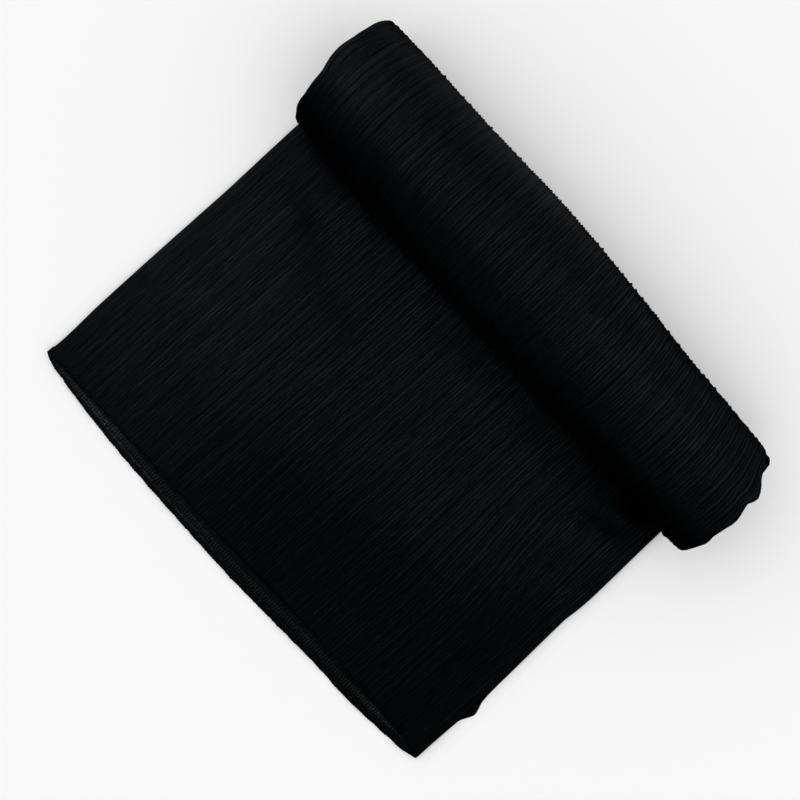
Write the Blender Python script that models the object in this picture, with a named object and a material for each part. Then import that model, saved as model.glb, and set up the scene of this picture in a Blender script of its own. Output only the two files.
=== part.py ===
"""A pleated satin scarf, folded in half along its length and rolled up, with its last stretch lying flat.

The cloth is one rectangle, 0.70 m by 1.80 m. Folded in half it is a double strip 0.35 m wide: the fold is
its left side, and the two long hems lie on each other on its right. The strip is rolled up from its far
end. Its last stretch, the flap, runs out from under the roll and lies flat.

Frame: X runs along the roll, Y from the flap's free end to the roll, Z up. Metres; the sizes below are in mm.
"""

import random
from collections import namedtuple
from math import cos, exp, pi, radians, sin

import bmesh
import bpy

MM = 0.001

# ---------------------------------------------------------------- driving dimensions

LAYER = 1.1  # one layer of the pleated cloth, under its ridges
SLACK = 1.5  # air between the flap's two layers, at its sides
PRESSED_SLACK = 0.5  # the same under the roll's weight
PUFF = 1.9  # how far the flap's upper layer stands up in the middle
PLEATS = 100  # across the folded width, on the flap and again on the roll
PLEAT_DEPTH = 0.65
PLEAT_UNEVENNESS = 0.38  # share by which a pleat is wider or narrower than the mean
PARTING = 0.4  # between two solids that meet

HALF_WIDTH = 176.0  # of the folded strip
SIDE_FADE = 22.0  # how far from its sides the flap's puff and creases fade out
FLAP_FRONT = -145.0  # about the Y of the flap's free end
FLAP_BACK = 103.0  # about the Y where the flap turns up into the roll
ROLL_NEAR = 62.0  # Y of the roll's near side, which presses the flap down from here on
PRESS_REACH = 18.0  # how soon it is pressed flat
PRESSED_PLEAT = 0.3
TURN_PITCH = 3.4  # from one turn of the double strip to the next
TURN_WALL = 2.75  # the double strip, with the outer layer's pleats
CORE_GAP = 0.45  # between the outer turn and the core
SAG = 2.6  # how much the roll is flattened where it rests
CORE_TURNS = 8  # turns inside the outer one, with the flat one at the centre
CORE_LEFT, CORE_RIGHT = -176.5, 182.0  # where the turns' edges lie, on the whole
LAYER_DEPTH = 9.0  # how deep the turns stand apart at the roll's ends
RIDGE_SHARES = (0.10, 0.80)  # where a turn's edge starts and stops between one groove and the next

HEM_WIDTH = 4.2
HEM_HEIGHT = 0.75
HEM_LEFT, HEM_RIGHT = -170.5, 175.0
HEM_BEVEL = 0.4
FOLD_ROUND = 2.2  # how far the side fold bulges

# The part's origin lies under the middle of its box; the tables below are about the middle of the flap.
ORIGIN = (2.07, -0.6)

# The outline of the flap's free end: the upper layer stops short, and the inside of the lower one shows.
EndPoint = namedtuple("EndPoint", "x upper lower")
FREE_END = (
    EndPoint(x=-176.0, upper=-146.2, lower=-147.2),
    EndPoint(x=-172.5, upper=-146.6, lower=-149.0),
    EndPoint(x=-166.0, upper=-146.9, lower=-150.8),
    EndPoint(x=-154.0, upper=-146.5, lower=-152.4),
    EndPoint(x=-128.0, upper=-145.8, lower=-154.8),
    EndPoint(x=-90.0, upper=-145.0, lower=-156.7),
    EndPoint(x=-40.0, upper=-144.2, lower=-157.1),
    EndPoint(x=10.0, upper=-142.2, lower=-156.8),
    EndPoint(x=52.0, upper=-140.4, lower=-154.9),
    EndPoint(x=90.0, upper=-140.3, lower=-153.0),
    EndPoint(x=115.0, upper=-140.4, lower=-152.9),
    EndPoint(x=141.0, upper=-140.7, lower=-151.0),
    EndPoint(x=154.0, upper=-141.0, lower=-149.5),
    EndPoint(x=167.0, upper=-141.9, lower=-148.1),
    EndPoint(x=177.5, upper=-143.2, lower=-145.2),
)

# The flap's sides. The lower layer's hem peeps out on the right, most of all at one small lobe.
SidePoint = namedtuple("SidePoint", "y left upper_right lower_right")
FLAP_SIDES = (
    SidePoint(y=-158.0, left=-173.6, upper_right=177.6, lower_right=177.8),
    SidePoint(y=-146.0, left=-173.4, upper_right=177.6, lower_right=177.8),
    SidePoint(y=-136.0, left=-172.4, upper_right=177.5, lower_right=177.9),
    SidePoint(y=-120.0, left=-172.7, upper_right=177.6, lower_right=178.2),
    SidePoint(y=-108.0, left=-173.3, upper_right=177.6, lower_right=178.6),
    SidePoint(y=-103.0, left=-173.5, upper_right=177.4, lower_right=180.8),
    SidePoint(y=-98.0, left=-173.6, upper_right=177.2, lower_right=182.4),
    SidePoint(y=-88.0, left=-173.7, upper_right=177.2, lower_right=179.0),
    SidePoint(y=-48.0, left=-173.8, upper_right=176.1, lower_right=176.9),
    SidePoint(y=-20.0, left=-173.8, upper_right=174.7, lower_right=175.3),
    SidePoint(y=-3.0, left=-173.8, upper_right=175.7, lower_right=176.0),
    SidePoint(y=10.0, left=-173.9, upper_right=175.7, lower_right=176.1),
    SidePoint(y=60.0, left=-175.0, upper_right=173.8, lower_right=174.2),
    SidePoint(y=104.0, left=-175.4, upper_right=173.3, lower_right=173.7),
)

# Soft ridges and troughs of the flap's upper layer, where the roll pulls on it.
Crease = namedtuple("Crease", "x y reach_along reach_across height turn_deg")
CREASES = (
    Crease(x=-112.0, y=50.0, reach_along=38.0, reach_across=11.0, height=1.9, turn_deg=-14.0),
    Crease(x=-92.0, y=22.0, reach_along=46.0, reach_across=12.0, height=-1.2, turn_deg=-20.0),
    Crease(x=146.0, y=41.0, reach_along=14.0, reach_across=6.0, height=-1.3, turn_deg=28.0),
    Crease(x=160.0, y=52.0, reach_along=12.0, reach_across=8.0, height=1.2, turn_deg=50.0),
    Crease(x=128.0, y=20.0, reach_along=9.0, reach_across=30.0, height=0.9, turn_deg=6.0),
    Crease(x=40.0, y=-70.0, reach_along=90.0, reach_across=40.0, height=0.6, turn_deg=-30.0),
)

# The roll's section at stations along it: where its middle lies, its half width and its half height.
RollStation = namedtuple("RollStation", "x centre half_width half_height")
ROLL = (
    RollStation(x=-186.0, centre=110.1, half_width=43.9, half_height=33.6),
    RollStation(x=-150.0, centre=109.0, half_width=45.7, half_height=35.4),
    RollStation(x=-110.0, centre=108.5, half_width=46.4, half_height=36.1),
    RollStation(x=-80.0, centre=108.5, half_width=47.1, half_height=36.5),
    RollStation(x=-20.0, centre=109.0, half_width=48.6, half_height=37.0),
    RollStation(x=50.0, centre=108.2, half_width=47.6, half_height=36.6),
    RollStation(x=100.0, centre=107.3, half_width=45.6, half_height=35.6),
    RollStation(x=145.0, centre=107.2, half_width=44.3, half_height=34.4),
    RollStation(x=192.0, centre=107.6, half_width=42.1, half_height=32.6),
)

# The cloth spreads as it is wound on: its two side edges at angles round the roll, from the bottom.
EdgePoint = namedtuple("EdgePoint", "angle left right")
TURN_EDGES = (
    EdgePoint(angle=-10.0, left=-175.4, right=173.2),
    EdgePoint(angle=45.0, left=-176.6, right=173.6),
    EdgePoint(angle=105.0, left=-179.0, right=174.6),
    EdgePoint(angle=130.0, left=-181.8, right=178.4),
    EdgePoint(angle=141.0, left=-182.2, right=180.0),
    EdgePoint(angle=150.0, left=-182.8, right=183.8),
    EdgePoint(angle=160.0, left=-183.2, right=186.9),
    EdgePoint(angle=168.0, left=-184.0, right=185.8),
    EdgePoint(angle=177.0, left=-184.0, right=186.8),
    EdgePoint(angle=186.0, left=-182.7, right=188.4),
    EdgePoint(angle=194.0, left=-180.5, right=187.9),
    EdgePoint(angle=210.0, left=-179.2, right=186.9),
    EdgePoint(angle=218.0, left=-178.4, right=187.6),
    EdgePoint(angle=229.0, left=-177.4, right=185.6),
    EdgePoint(angle=242.0, left=-176.2, right=183.0),
    EdgePoint(angle=256.0, left=-174.6, right=179.2),
    EdgePoint(angle=300.0, left=-173.8, right=176.6),
    EdgePoint(angle=360.0, left=-174.4, right=176.0),
)

# Angles round the roll, from the bottom towards the far side, where its section has a corner.
TURN_START, TURN_END = -6, 350
TURN_ANGLES = (TURN_START, 16, 36, *range(57, 300, 22), 321, 335, TURN_END)
CORE_ANGLES = (*TURN_ANGLES[:-1], TURN_END + 1)

# Shares of the way from the flap's free end to the roll, one column for each edge of the cloth.
FlapRow = namedtuple("FlapRow", "upper lower_right")
FLAP_ROWS = (
    FlapRow(upper=0.0, lower_right=0.0),
    FlapRow(upper=0.16, lower_right=0.165),
    FlapRow(upper=0.38, lower_right=0.19),
    FlapRow(upper=0.60, lower_right=0.215),
    FlapRow(upper=0.70, lower_right=0.26),
    FlapRow(upper=0.79, lower_right=0.50),
    FlapRow(upper=0.88, lower_right=0.75),
    FlapRow(upper=1.0, lower_right=1.0),
)


# ---------------------------------------------------------------- small helpers


def mix(a, b, share):
    return a + (b - a) * share


def ease(share):
    """0 to 1, level at both ends."""
    share = min(1.0, max(0.0, share))
    return share * share * (3 - 2 * share)


def read_table(table, key, at, column):
    """The column's value at a place between the rows of a table, on a smooth curve through them."""
    keys = [getattr(row, key) for row in table]
    values = [getattr(row, column) for row in table]
    if at <= keys[0]:
        return values[0]
    if at >= keys[-1]:
        return values[-1]
    i = next(i for i in range(len(keys) - 1) if at <= keys[i + 1])

    def slope(j):
        low, high = max(j - 1, 0), min(j + 1, len(keys) - 1)
        return (values[high] - values[low]) / (keys[high] - keys[low])

    span = keys[i + 1] - keys[i]
    t = (at - keys[i]) / span
    return (
        (2 * t**3 - 3 * t**2 + 1) * values[i]
        + (t**3 - 2 * t**2 + t) * span * slope(i)
        + (3 * t**2 - 2 * t**3) * values[i + 1]
        + (t**3 - t**2) * span * slope(i + 1)
    )


def placed(x, y, z):
    """A point of the tables' frame, in mm, as a point of the part's frame, in metres."""
    return ((x - ORIGIN[0]) * MM, (y - ORIGIN[1]) * MM, z * MM)


def pleat_columns():
    """(share across the width, 0 in a valley or 1 on a ridge) for every crease, from left to right."""
    chance = random.Random(11)
    widths = [1 + PLEAT_UNEVENNESS * chance.uniform(-1, 1) for _ in range(PLEATS)]
    columns, edge = [(0.0, 0.0)], 0.0
    for width in widths:
        share = width / sum(widths)
        columns.append((edge + share * chance.uniform(0.4, 0.6), chance.uniform(0.7, 1.0)))
        edge += share
        columns.append((edge, chance.uniform(0.0, 0.15)))
    columns[-1] = (1.0, 0.0)
    return columns


COLUMNS = pleat_columns()


# ---------------------------------------------------------------- building meshes


def add_grid(bm, rows):
    """A grid of points as quads; returns its vertices, row by row."""
    verts = [[bm.verts.new(point) for point in row] for row in rows]
    for low, high in zip(verts, verts[1:]):
        for i in range(len(low) - 1):
            bm.faces.new((low[i], low[i + 1], high[i + 1], high[i]))
    return verts


def zip_edges(bm, first, first_at, second, second_at):
    """Triangles between two chains of vertices, in step with where each vertex is along its chain."""
    i = j = 0
    while i < len(first) - 1 or j < len(second) - 1:
        first_next = first_at[i + 1] if i < len(first) - 1 else 2.0
        second_next = second_at[j + 1] if j < len(second) - 1 else 2.0
        if first_next <= second_next:
            bm.faces.new((first[i], first[i + 1], second[j]))
            i += 1
        else:
            bm.faces.new((first[i], second[j + 1], second[j]))
            j += 1


def even(count):
    return [i / (count - 1) for i in range(count)]


def finish(name, bm, material, parent):
    bmesh.ops.recalc_face_normals(bm, faces=bm.faces)
    mesh = bpy.data.meshes.new(name)
    bm.to_mesh(mesh)
    bm.free()
    mesh.materials.append(material)
    mesh.shade_smooth()
    mesh.set_sharp_from_angle(angle=radians(50))
    obj = bpy.data.objects.new(name, mesh)
    obj.parent = parent
    bpy.context.scene.collection.objects.link(obj)
    return obj


def wall(name, outer, outer_at, inner, inner_at, material, parent):
    """A closed wall of cloth between two grids with as many rows, but each with its own columns."""
    bm = bmesh.new()
    out, back = add_grid(bm, outer), add_grid(bm, inner)
    for row in (0, -1):
        zip_edges(bm, out[row], outer_at, back[row], inner_at)
    rows_at = even(len(outer))
    for column in (0, -1):
        zip_edges(bm, [r[column] for r in out], rows_at, [r[column] for r in back], rows_at)
    return finish(name, bm, material, parent)


# ---------------------------------------------------------------- the flap


def slack(x, y):
    """The air between the flap's layers: puffed in the middle, creased near the roll, pressed flat under it."""
    rise = PUFF * (1 - (abs(x) / HALF_WIDTH) ** 4) * (0.75 + 0.25 * cos(pi * y / (FLAP_BACK - FLAP_FRONT)))
    for crease in CREASES:
        turn = radians(crease.turn_deg)
        dx, dy = x - crease.x, y - crease.y
        along = (dx * cos(turn) + dy * sin(turn)) / crease.reach_along
        across = (dy * cos(turn) - dx * sin(turn)) / crease.reach_across
        rise += crease.height * exp(-along * along - across * across)
    side = ease((HALF_WIDTH - abs(x)) / SIDE_FADE)
    pressed = ease((y - ROLL_NEAR) / PRESS_REACH)
    return mix(SLACK + max(rise, 0.0) * side, PRESSED_SLACK, pressed)


def pleat_height(y):
    """The flap's pleats flatten where the roll lies on them."""
    return mix(PLEAT_DEPTH, PRESSED_PLEAT, ease((y - ROLL_NEAR) / PRESS_REACH))


def end_y(x, layer):
    return read_table(FREE_END, "x", x, layer)


def back_y(x):
    """Where the flap stops, just short of the outer turn's start."""
    turned = sin(radians(TURN_START))
    return read_table(ROLL, "x", x, "centre") + read_table(ROLL, "x", x, "half_width") * turned - PARTING


def side_x(y, side):
    return read_table(FLAP_SIDES, "y", y, side)


def flap_column(share, ridge, row, inside):
    """A point of the upper layer, on its outer or its inner face. share is 0 at the left."""
    y = mix(FLAP_FRONT, FLAP_BACK, row.upper)
    x = mix(side_x(y, "left") + FOLD_ROUND, side_x(y, "upper_right"), share)
    y = mix(end_y(x, "upper"), back_y(x), row.upper)
    z = LAYER + slack(x, y)
    if not inside:
        z += LAYER + ridge * pleat_height(y)
    return placed(x, y, z)


def fold_column(angle, row, inside):
    """A point round the side fold: angle 0 is at its top and 180 at its bottom."""
    y = mix(FLAP_FRONT, FLAP_BACK, row.upper)
    left = side_x(y, "left")
    share = angle / 180.0
    front = mix(end_y(left, "upper"), end_y(left, "lower"), share)
    y = mix(front, back_y(left), row.upper)
    middle = LAYER + slack(left + FOLD_ROUND, y) / 2
    half_height = middle - (LAYER if inside else 0.0)
    bulge = FOLD_ROUND - (LAYER if inside else 0.0)
    x = left + FOLD_ROUND - bulge * sin(radians(angle))
    return placed(x, y, middle + half_height * cos(radians(angle)))


def lower_column(share, row, inside):
    """A point of the lower layer, which lies flat: share is 0 at the fold and 1 at the right."""
    row_share = mix(row.upper, row.lower_right, ease(share))
    y = mix(FLAP_FRONT, FLAP_BACK, row_share)
    x = mix(side_x(y, "left") + FOLD_ROUND, side_x(y, "lower_right"), share)
    y = mix(end_y(x, "lower"), back_y(x), row_share)
    return placed(x, y, LAYER if inside else 0.0)


def build_flap(material, parent):
    """The double strip as one folded wall: along the upper layer to the left, round the fold, and back below."""
    lower_shares = even(12)
    inner_upper_shares = even(17)
    outer_angles, inner_angles = (30, 60, 90, 120, 150), (60, 120)

    def path(upper, angles, inside):
        """The columns of one face and how far along the path each is: upper to 1, fold to 2, lower to 3."""
        at = [1 - share for share, _ in upper]
        at += [1 + angle / 180.0 for angle in angles]
        at += [2 + share for share in lower_shares]
        rows = []
        for row in FLAP_ROWS:
            points = [flap_column(share, ridge, row, inside) for share, ridge in upper]
            points += [fold_column(angle, row, inside) for angle in angles]
            points += [lower_column(share, row, inside) for share in lower_shares]
            rows.append(points)
        return rows, [place / 3 for place in at]

    outer, outer_at = path(COLUMNS[::-1], outer_angles, False)
    inner, inner_at = path([(share, 0.0) for share in inner_upper_shares[::-1]], inner_angles, True)
    return wall("flap", outer, outer_at, inner, inner_at, material, parent)


def build_end_hem(material, parent):
    """The narrow turned hem on the inside of the lower layer, along the curve of its free end."""
    stations = 24
    low = LAYER + PARTING
    high = low + HEM_HEIGHT
    bm = bmesh.new()
    rows = []
    for share in even(stations):
        x = mix(HEM_LEFT, HEM_RIGHT, share)
        front = end_y(x, "lower")
        back = front + HEM_WIDTH
        section = ((front, low), (back, low), (back - HEM_BEVEL, high), (front + HEM_BEVEL, high))
        rows.append([bm.verts.new(placed(x, y, z)) for y, z in section])
    for low_row, high_row in zip(rows, rows[1:]):
        for i in range(4):
            bm.faces.new((low_row[i], low_row[i - 1], high_row[i - 1], high_row[i]))
    bm.faces.new(rows[0])
    bm.faces.new(rows[-1][::-1])
    return finish("end_hem", bm, material, parent)


# ---------------------------------------------------------------- the roll


def roll_point(x, angle, depth):
    """A point that far inside the roll's outline. The angle is from the bottom, towards the far side."""
    centre, half_width, half_height = (
        read_table(ROLL, "x", x, column) for column in ("centre", "half_width", "half_height")
    )
    turned = radians(angle)
    y = centre + (half_width - depth) * sin(turned)
    z = half_height - SAG - (half_height - depth) * cos(turned)
    return placed(x, y, max(z, depth))


def wound(angle):
    """How far inside the outline the cloth lies after that much winding."""
    return TURN_PITCH * angle / 360.0


def turn_edge(angle, side):
    """The cloth's side edge round the outer turn, a little uneven."""
    wave = 0.3 * sin(radians(angle) * 11) + 0.2 * sin(radians(angle) * 5 + 1)
    return read_table(TURN_EDGES, "angle", angle, side) + wave * ease((angle - 20) / 40)


def turn_pleat(angle):
    """Pleat depth round the turn: flat where it rests, and where it is tucked in under the roll."""
    return PLEAT_DEPTH * ease((angle - 8) / 40) * ease((348 - angle) / 30)


def build_outer_turn(material, parent):
    """The last turn of the strip, from where it leaves the flap, over the roll and in under it."""
    inner_columns = [(0.5 - 0.5 * cos(pi * share), 0.0) for share in even(11)]

    def grid(columns, depth_of):
        rows = []
        for angle in TURN_ANGLES:
            left, right = turn_edge(angle, "left"), turn_edge(angle, "right")
            depths = [depth_of(angle, ridge) for _, ridge in columns]
            across = [mix(left, right, share) for share, _ in columns]
            rows.append([roll_point(x, angle, depth) for x, depth in zip(across, depths)])
        return rows

    outer = grid(COLUMNS, lambda angle, ridge: max(wound(angle), 0.0) + (1 - ridge) * turn_pleat(angle))
    inner = grid(inner_columns, lambda angle, _: max(wound(angle), 0.0) + TURN_WALL)
    shares = [share for share, _ in COLUMNS]
    inner_shares = [share for share, _ in inner_columns]
    return wall("roll_outer_turn", outer, shares, inner, inner_shares, material, parent)


def core_depth(angle):
    return max(wound(angle), 0.0) + TURN_WALL + CORE_GAP


def core_end(angle, side):
    """Where the inner turns' edges lie: each turn is a little further in or out than the one before."""
    drift = 1.6 * sin(radians(angle) * 0.37 + 0.6) + 0.6 * sin(radians(angle) * 3.0)
    return CORE_LEFT - drift if side == "left" else CORE_RIGHT + drift


def add_layered_end(bm, outline, side):
    """One end of the core: the edges of its turns as a spiral ridge, with grooves between the turns."""
    per_turn = len(CORE_ANGLES)
    inward = LAYER_DEPTH if side == "left" else -LAYER_DEPTH
    angles = [angle + 360 * turn for turn in range(CORE_TURNS + 1) for angle in CORE_ANGLES]
    last = CORE_TURNS * per_turn
    grooves = list(outline)
    for angle in angles[per_turn : last + per_turn]:
        depth = core_depth(angle)
        grooves.append(bm.verts.new(roll_point(core_end(angle, side) + inward, angle, depth)))
    ridges = []
    for angle in angles[: last - per_turn + 1]:
        pair = [
            bm.verts.new(roll_point(core_end(angle, side), angle, core_depth(angle) + TURN_PITCH * share))
            for share in RIDGE_SHARES
        ]
        ridges.append(pair)
    for i in range(len(ridges) - 1):
        low = (grooves[i], *ridges[i], grooves[i + per_turn])
        high = (grooves[i + 1], *ridges[i + 1], grooves[i + 1 + per_turn])
        for j in range(3):
            bm.faces.new((low[j], low[j + 1], high[j + 1], high[j]))
    bm.faces.new((grooves[per_turn - 1], grooves[0], ridges[0][0], ridges[0][1], grooves[per_turn]))
    stop = len(ridges) - 1
    hole = [*grooves[stop : stop + per_turn + 1], ridges[stop][1], ridges[stop][0]]
    x = core_end(angles[stop], side) + inward
    top, bottom = roll_point(x, 180, 0), roll_point(x, 0, 0)
    middle = bm.verts.new([mix(a, b, 0.5) for a, b in zip(top, bottom)])
    for i, vert in enumerate(hole):
        bm.faces.new((hole[i - 1], vert, middle))


def build_core(material, parent):
    """The turns that the outer one hides, as one rounded solid, with the spiral of their edges at its ends."""
    bm = bmesh.new()
    rings = []
    for share in even(7):
        ring = []
        for angle in CORE_ANGLES:
            left = core_end(angle, "left") + LAYER_DEPTH
            right = core_end(angle, "right") - LAYER_DEPTH
            ring.append(bm.verts.new(roll_point(mix(left, right, share), angle, core_depth(angle))))
        rings.append(ring)
    for low, high in zip(rings, rings[1:]):
        for i in range(len(low)):
            bm.faces.new((low[i], low[i - 1], high[i - 1], high[i]))
    add_layered_end(bm, rings[0], "left")
    add_layered_end(bm, rings[-1], "right")
    return finish("roll_core", bm, material, parent)


# ---------------------------------------------------------------- the whole scarf


def cloth_material(name, colour, roughness):
    material = bpy.data.materials.new(name)
    material.use_nodes = True
    shader = material.node_tree.nodes["Principled BSDF"]
    shader.inputs["Base Color"].default_value = (*colour, 1.0)
    shader.inputs["Roughness"].default_value = roughness
    shader.inputs["Metallic"].default_value = 0.0
    return material


def main():
    for obj in list(bpy.data.objects):
        bpy.data.objects.remove(obj)
    scarf = bpy.data.objects.new("scarf", None)
    bpy.context.scene.collection.objects.link(scarf)
    satin = cloth_material("black_satin", (0.006, 0.008, 0.010), 0.42)
    hem = cloth_material("hem_thread", (0.010, 0.010, 0.012), 0.60)
    build_flap(satin, scarf)
    build_end_hem(hem, scarf)
    build_outer_turn(satin, scarf)
    build_core(satin, scarf)


main()
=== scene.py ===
# %% [markdown]
# # A pleated satin scarf, folded and rolled
#
# The scarf is one long rectangle of black satin with heat-set crinkle pleats along its length. It
# is folded in half lengthwise, rolled up from its far end, and laid down with its last stretch
# still flat. This lesson dresses a measured frame of that object: the frame has plain solids of
# the right size, and every cell below puts real-looking cloth, hems and stitches where those
# solids are.
#
# Lengths in the tables are in millimetres and turn into metres in one place, where a mesh is
# made.

# %% Load the measured frame
from collections import namedtuple
from math import radians

import bpy
import numpy as np
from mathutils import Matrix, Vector


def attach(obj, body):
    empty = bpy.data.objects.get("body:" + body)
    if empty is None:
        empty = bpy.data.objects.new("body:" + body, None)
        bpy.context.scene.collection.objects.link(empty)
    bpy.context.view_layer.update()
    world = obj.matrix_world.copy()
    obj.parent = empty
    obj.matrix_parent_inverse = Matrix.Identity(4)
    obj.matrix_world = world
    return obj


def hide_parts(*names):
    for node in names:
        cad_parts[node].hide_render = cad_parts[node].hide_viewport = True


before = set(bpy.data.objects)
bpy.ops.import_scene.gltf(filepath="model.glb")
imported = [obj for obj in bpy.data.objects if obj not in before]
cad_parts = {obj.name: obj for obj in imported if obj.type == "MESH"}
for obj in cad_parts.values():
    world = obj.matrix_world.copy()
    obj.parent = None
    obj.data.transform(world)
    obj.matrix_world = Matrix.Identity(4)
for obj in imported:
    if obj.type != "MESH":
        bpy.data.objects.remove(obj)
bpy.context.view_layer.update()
MM = 0.001

# %% [markdown]
# ## The camera
#
# The scarf was photographed from straight above, turned so that the roll's axis runs down to the
# right. A camera that looks straight down needs only a turn about the vertical. Its height
# matters more than one might think: the roll's top is nearer to the lens than the table, so it
# looks a little larger and hides its own far side.

# %% Camera
PHOTO_WIDTH_PX = 800
MM_PER_PX = 0.641  # on the table
CAMERA_HEIGHT = 1100.0
ROLL_TURN_DEG = 48.3  # clockwise, from the picture's right to the roll's axis
TABLE_ORIGIN = (2.07, -0.6)  # the frame's origin, seen from the middle of the picture


def put_in_scene(name, data):
    """A new object that shows this mesh, lamp or camera."""
    made = bpy.data.objects.new(name, data)
    bpy.context.scene.collection.objects.link(made)
    return made


camera = put_in_scene("camera", bpy.data.cameras.new("camera"))
bpy.context.scene.camera = camera
camera.location = (-TABLE_ORIGIN[0] * MM, -TABLE_ORIGIN[1] * MM, CAMERA_HEIGHT * MM)
camera.rotation_euler = (0, 0, radians(ROLL_TURN_DEG))
camera.data.sensor_width = 36.0
camera.data.lens = camera.data.sensor_width * CAMERA_HEIGHT / (PHOTO_WIDTH_PX * MM_PER_PX)
print("lens:", round(camera.data.lens, 1), "mm")

# %% [markdown]
# ## Reading a shape from a short table
#
# Cloth outlines are smooth but uneven, so a formula with two or three numbers can't hold them. A
# short table can: a row for each place where the outline changes, and a smooth curve between the
# rows. The curve is a Hermite spline, which passes through every row with the slope of its
# neighbours, so it never swings past them by much.


# %% Tables and the curve through them
def table(kind, *rows):
    """Rows of numbers, each under the names of that kind's columns."""
    return tuple(kind(*row) for row in rows)


def column(rows, name):
    """One column of a table, as an array."""
    return np.array([getattr(row, name) for row in rows], dtype=float)


def read(rows, key, name, at):
    """The named column at any places between the rows, on a smooth curve. at may be an array."""
    keys, values = column(rows, key), column(rows, name)
    low = np.maximum(np.arange(len(keys)) - 1, 0)
    high = np.minimum(np.arange(len(keys)) + 1, len(keys) - 1)
    slopes = (values[high] - values[low]) / (keys[high] - keys[low])
    at = np.clip(np.asarray(at, dtype=float), keys[0], keys[-1])
    i = np.clip(np.searchsorted(keys, at, side="right") - 1, 0, len(keys) - 2)
    span = keys[i + 1] - keys[i]
    t = (at - keys[i]) / span
    return (
        (2 * t**3 - 3 * t**2 + 1) * values[i]
        + (t**3 - 2 * t**2 + t) * span * slopes[i]
        + (3 * t**2 - 2 * t**3) * values[i + 1]
        + (t**3 - t**2) * span * slopes[i + 1]
    )


def ease(share):
    """0 to 1, level at both ends."""
    share = np.clip(share, 0.0, 1.0)
    return share * share * (3 - 2 * share)


def mix(a, b, share):
    return a + (b - a) * share


print("ease:", ease(np.array([0.0, 0.25, 0.5, 0.75, 1.0])).round(2).tolist())

# %% [markdown]
# ## One way to make every sheet
#
# All the cloth here is a grid: rows along the pleats, columns across them. Six columns to a pleat
# let each crease run exactly along a column, so it stays crisp with few faces. The grid itself is
# smooth. It only carries three numbers on its points, which the pleating step reads later: which
# pleat the point is in, how far along it lies, and how strong the pleats are there.

# %% Grids that carry their pleats
PLEATS = 164
COLUMNS_PER_PLEAT = 6
UNEVEN_PLEATS = 0.36  # share by which a pleat is wider or narrower than the mean
FOLDED_WIDTH = 350.0  # of the whole scarf, 700 mm, folded in half

chances = np.random.default_rng(4).uniform(-1, 1, PLEATS + 1)
pleat_widths = 1 + UNEVEN_PLEATS * np.diff(chances) / 1.4  # a wide pleat takes its cloth from its neighbour
pleat_bounds = np.concatenate([[0.0], np.cumsum(pleat_widths)]) / pleat_widths.sum()
PHASES = np.arange(PLEATS * COLUMNS_PER_PLEAT + 1) / COLUMNS_PER_PLEAT
SHARES = np.interp(PHASES, np.arange(PLEATS + 1), pleat_bounds)


def past_last_pleat(count):
    """Phases of the columns that turn under at the open edge. They stay in the last pleat."""
    return PLEATS - 0.001 + np.arange(1, count + 1) * 0.0001


def cloth_grid(name, points, phases, along, strength, outside_up=True):
    """A mesh object from rows x columns x 3 points in mm, in the frame's own place."""
    rows, columns = points.shape[:2]
    order = np.arange(rows * columns).reshape(rows, columns)
    corners = [order[:-1, :-1], order[:-1, 1:], order[1:, 1:], order[1:, :-1]]
    if not outside_up:
        corners.reverse()
    quads = np.stack(corners, axis=-1).reshape(-1, 4)
    placed = (points - np.array([*TABLE_ORIGIN, 0.0])).reshape(-1, 3) * MM
    mesh = bpy.data.meshes.new(name)
    mesh.from_pydata(placed.tolist(), [], quads.tolist())
    facts = {"pleat": phases, "along": along, "strength": strength}
    for fact, values in facts.items():
        spread = np.broadcast_to(values, (rows, columns)).astype(np.float32).ravel()
        mesh.attributes.new(fact, "FLOAT", "POINT").data.foreach_set("value", spread)
    across = np.broadcast_to(phases, (rows, columns)).ravel() * (FOLDED_WIDTH / PLEATS) * MM
    lengthwise = np.broadcast_to(along, (rows, columns)).ravel() * MM
    corner_points = np.empty(len(mesh.loops), dtype=np.int32)
    mesh.loops.foreach_get("vertex_index", corner_points)
    uv = np.stack([across[corner_points], lengthwise[corner_points]], axis=-1)
    mesh.uv_layers.new(name="cloth").data.foreach_set("uv", uv.astype(np.float32).ravel())
    mesh.shade_smooth()
    print(name, "grid:", rows, "x", columns)
    return put_in_scene(name, mesh)


# %% [markdown]
# ## Writing node trees briefly
#
# A node tree written out in full takes many lines. This small helper adds a node, fills its
# sockets and hands back its output, so that a tree reads like a sum. The same helper serves
# materials and geometry.


# %% A helper for node trees
LOWEST = 0.00005  # in metres: no cloth goes through the table


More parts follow.
